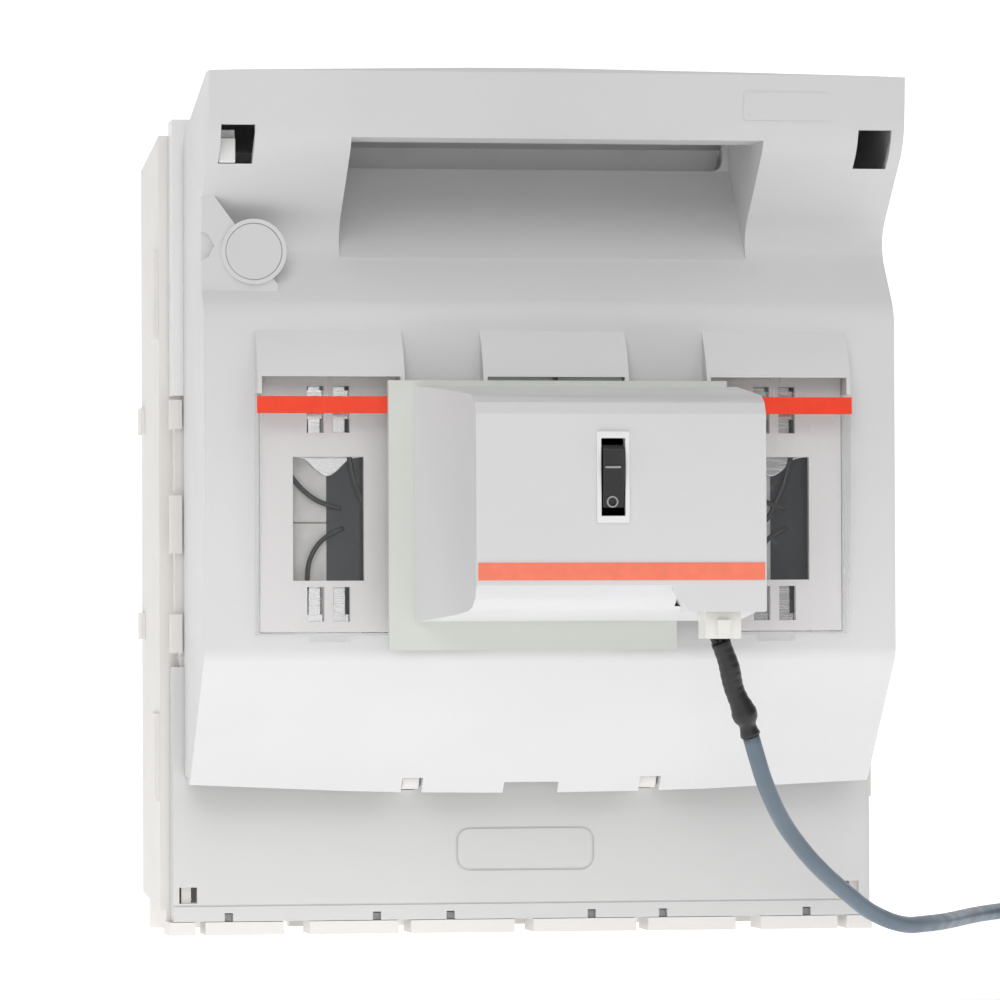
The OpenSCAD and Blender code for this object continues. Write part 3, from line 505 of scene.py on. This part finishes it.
def make_fuse_lug(name, px):
    """The bright lug that hangs into the carrier's opening, and the tongues above and below."""
    bm = bmesh.new()
    line = [(p.x, p.y) for p in catmull([(x, z, 0) for x, z in LUG_EDGE], 4)]
    outline = line + [(LUG_HALF_W, LUG_TOP_Z), (-LUG_HALF_W, LUG_TOP_Z)]
    add_prism(bm, front_outline([(px + x, z) for x, z in outline], LUG_F), 1.0)
    for s in (-1, 1):
        middle = px + TONGUE_X * s
        for z in TONGUE_SPANS:
            add_slab(bm, (middle - TONGUE_HALF_W, middle + TONGUE_HALF_W, *z), 1, LUG_F, 1.2)
    lug = finish_mesh(name, bm)
    bevel = lug.modifiers.new("bevel", "BEVEL")
    bevel.width = 0.4 * MM
    bevel.segments = 3
    fit_piece(lug, "lid", "cap_metal")


def make_switch_marks():
    """The bar on the rocker's raised half and the ring on its lower half."""
    thick = 0.4
    bm = bmesh.new()
    add_slab(bm, (7.0, 12.4, 165.2, 165.9), 0.2, ROCKER_BAR_F, thick, 2)
    cx, cz, inner, outer, steps = 9.9, 153.7, 1.5, 2.0, 24
    for k in range(steps):
        a, b = 2 * math.pi * k / steps, 2 * math.pi * (k + 1) / steps
        ends = (inner, a), (inner, b), (outer, b), (outer, a)
        piece = [(cx + r * math.cos(t), cz + r * math.sin(t)) for r, t in ends]
        add_prism(bm, front_outline(piece, ROCKER_RING_F), thick)
    fit_piece(finish_mesh("switch_marks", bm), "rocker", "bezel_white", "mark_print")


def make_boss_corner():
    """The slanted wall at the left of the monitor's plug boss, where the CAD shell has a gap."""
    bm = bmesh.new()
    slant = [(31.4, 122.7), (35.9, 116.7), (37.0, 117.6), (32.5, 123.5)]
    add_prism(bm, front_outline(slant, MONITOR_BOSS_F), 25)
    fit_piece(finish_mesh("boss_corner", bm), "lid", "monitor_plastic")


def make_cover_slot_shade():
    """Black patches on the rim of the upper cover, seen under the handle: painted shade where its slots are."""
    bm = bmesh.new()
    for x in ((-49, -42.5), (36, 44)):
        add_slab(bm, (*x, 286.2, 288.4), 0.3, COVER_RIM_F, 0.3)
    fit_piece(finish_mesh("cover_slot_shade", bm), "base", "switch_black")


def make_sleeve():
    """The shrunk sleeve: it follows the bundle of wires inside, and swells before its lower end."""
    steps = 40
    line, radii = [], []
    axis = SLEEVE_END - SLEEVE_TOP
    for k in range(steps + 1):
        t = k / steps
        sway = 0.5 * math.sin(3 * math.pi * t) * math.sin(math.pi * t)
        line.append(at(*(SLEEVE_TOP + axis * t + Vector((sway, 0.3 * sway, 0)))))
        swell = 0.9 * math.exp(-((t - 0.78) / 0.09) ** 2)
        neck = 0.7 * math.exp(-((t - 0.9) / 0.05) ** 2)
        ripple = 0.16 * math.sin(31 * t) * math.sin(47 * t + 1)
        taper = 0.7 * max(0.0, 0.25 - t)
        radii.append((SLEEVE_R + swell - neck + ripple - taper) * MM)
    sleeve = tube("shrunk_sleeve", line, 0, 24, radii)
    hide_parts("heat_shrink_sleeve")
    fit_piece(sleeve, "lid", "sleeve_black")


def make_plug_wires():
    """The three wires between the plug and the sleeve, which draws them together."""
    plug_x = 49.75
    for i, x in enumerate((-2.6, 0.0, 2.6)):
        points = [
            (plug_x + x, 118, 108.5),
            (plug_x + 0.1 + 0.9 * x, 118, 106.5),
            (plug_x + 0.45 + 0.6 * x, 117.9, 104.5),
            (plug_x + 1.15 + 0.5 * x, 117.6, 102),
        ]
        line = [at(*q) for q in catmull(points, 4)]
        fit_piece(tube(f"plug_wire_{i + 1}", line, 1.2 * MM, 12), "lid", "wire_black")


make_handle_label()
for side, px in PHASES.items():
    # the left fuse's wrap is thick enough to cover its indicator too
    make_fuse_label("fuse_label_" + side, px, 1.7 if side == "left" else 0.3)
    make_fuse_wires("striker_wire_" + side, px)
    make_fuse_lug("fuse_lug_" + side, px)
make_switch_marks()
make_cover_slot_shade()
make_boss_corner()
make_sleeve()
make_plug_wires()


# ------------------------------------------------------------------ soft edges
# The edge radius of each moulded part, in millimetres. Parts not named keep the CAD's edges.
EDGE_RADIUS = {
    "lid_shell": 0.9, "base_housing": 0.8, "upper_terminal_cover": 0.6,
    "lower_terminal_cover": 0.8, "monitor_housing": 1.0, "monitor_base_plate": 0.6,
    "switch_bezel": 0.5, "switch_rocker": 0.5, "blanking_plug": 0.5, "seal_slider": 0.4,
    "window_left": 0.5, "window_right": 0.5, "fuse_carrier_left": 0.4,
    "fuse_carrier_centre": 0.4, "fuse_carrier_right": 0.4, "coil_tie": 0.4,
}


def soften(obj, radius):
    """Joins a CAD node's triangles into flat faces, and rounds the edges between them."""
    weld = obj.modifiers.new("weld", "WELD")
    weld.merge_threshold = 0.01 * MM
    flat = obj.modifiers.new("flat", "DECIMATE")
    flat.decimate_type = "DISSOLVE"
    flat.angle_limit = math.radians(1)
    bevel = obj.modifiers.new("bevel", "BEVEL")
    bevel.width = radius * MM
    bevel.segments = 3
    bevel.limit_method = "ANGLE"
    bevel.angle_limit = math.radians(28)
    obj.modifiers.new("normals", "WEIGHTED_NORMAL")


for name, obj in nodes.items():
    paint(obj, SLOT_OF[name])
    if name in EDGE_RADIUS:
        soften(obj, EDGE_RADIUS[name])


# ------------------------------------------------------------------ stage
# The sheet's glow fades in between these two places, so that it doesn't light the object from below.
GLOW_FROM_Y, GLOW_TO_Y = -0.48, -0.34
GLOW = 0.9
SHEET_HALF_W, SHEET_NEAR_Y, SHEET_TOP_Z = 8.0, -6.0, 6.0
BEND_Y, BEND_R = 2.5, 1.5
SHEET_DROP = 0.0003


def make_stage():
    """A white glowing sheet that curves up behind the object, as for a cut-out product picture."""
    g = Graph("stage_floor")
    pale = g.ramp(g.noise(3, 3), [(0.3, (0.60, 0.60, 0.60, 1)), (0.7, (0.62, 0.62, 0.62, 1))])
    g.link(pale, g.shader.inputs["Base Color"])
    g.set(Roughness=0.9, Emission_Color=(1, 1, 1, 1))
    split = g.add("ShaderNodeSeparateXYZ")
    g.link(g.place, split.inputs["Vector"])
    glow = g.span(split.outputs["Y"], 0.0, GLOW, (GLOW_FROM_Y, GLOW_TO_Y))
    g.link(glow, g.shader.inputs["Emission Strength"])
    steps = 16
    turns = [math.pi / 2 * k / steps for k in range(steps + 1)]
    profile = [
        (SHEET_NEAR_Y, 0.0),
        *[(BEND_Y + BEND_R * math.sin(a), BEND_R - BEND_R * math.cos(a)) for a in turns],
        (BEND_Y + BEND_R, SHEET_TOP_Z),
    ]
    bm = bmesh.new()
    rows = [
        [bm.verts.new((x, y, z - SHEET_DROP)) for y, z in profile]
        for x in (-SHEET_HALF_W, SHEET_HALF_W)
    ]
    for i in range(len(profile) - 1):
        bm.faces.new((rows[0][i], rows[1][i], rows[1][i + 1], rows[0][i + 1])).smooth = True
    floor = finish_mesh("stage_floor", bm)
    floor.data.materials.append(g.material)


# Each lamp's place, the point it faces, its size, and its power in watts
AMBIENT = 0.24
LAMPS = {
    "key": ((-0.8, -2.1, 1.6), (0, 0, 0.15), (1.4, 1.4), 16.5),
    "fill": ((1.2, -2.1, 1.5), (0, 0, 0.15), (1.4, 1.4), 7.5),
    "top": ((0.0, -0.9, 2.2), (0, 0, 0.15), (1.6, 1.2), 8),
    "front": ((-0.3, -2.3, 0.25), (0, 0, 0.2), (0.9, 0.5), 4),
}


def area_light(name, place, target, size, power):
    data = bpy.data.lights.new(name, "AREA")
    data.shape = "RECTANGLE"
    data.size, data.size_y = size
    data.energy = power
    lamp = bpy.data.objects.new(name, data)
    lamp.location = place
    lamp.rotation_mode = "QUATERNION"
    lamp.rotation_quaternion = (Vector(target) - Vector(place)).to_track_quat("-Z", "Y")
    bpy.context.collection.objects.link(lamp)


def make_lights():
    world = bpy.data.worlds.new("studio")
    world.use_nodes = True
    sky = world.node_tree.nodes["Background"]
    sky.inputs["Color"].default_value = (1, 1, 1, 1)
    sky.inputs["Strength"].default_value = AMBIENT
    bpy.context.scene.world = world
    for name, settings in LAMPS.items():
        area_light(name, *settings)


make_stage()
make_lights()
bpy.context.scene.view_settings.view_transform = "Standard"
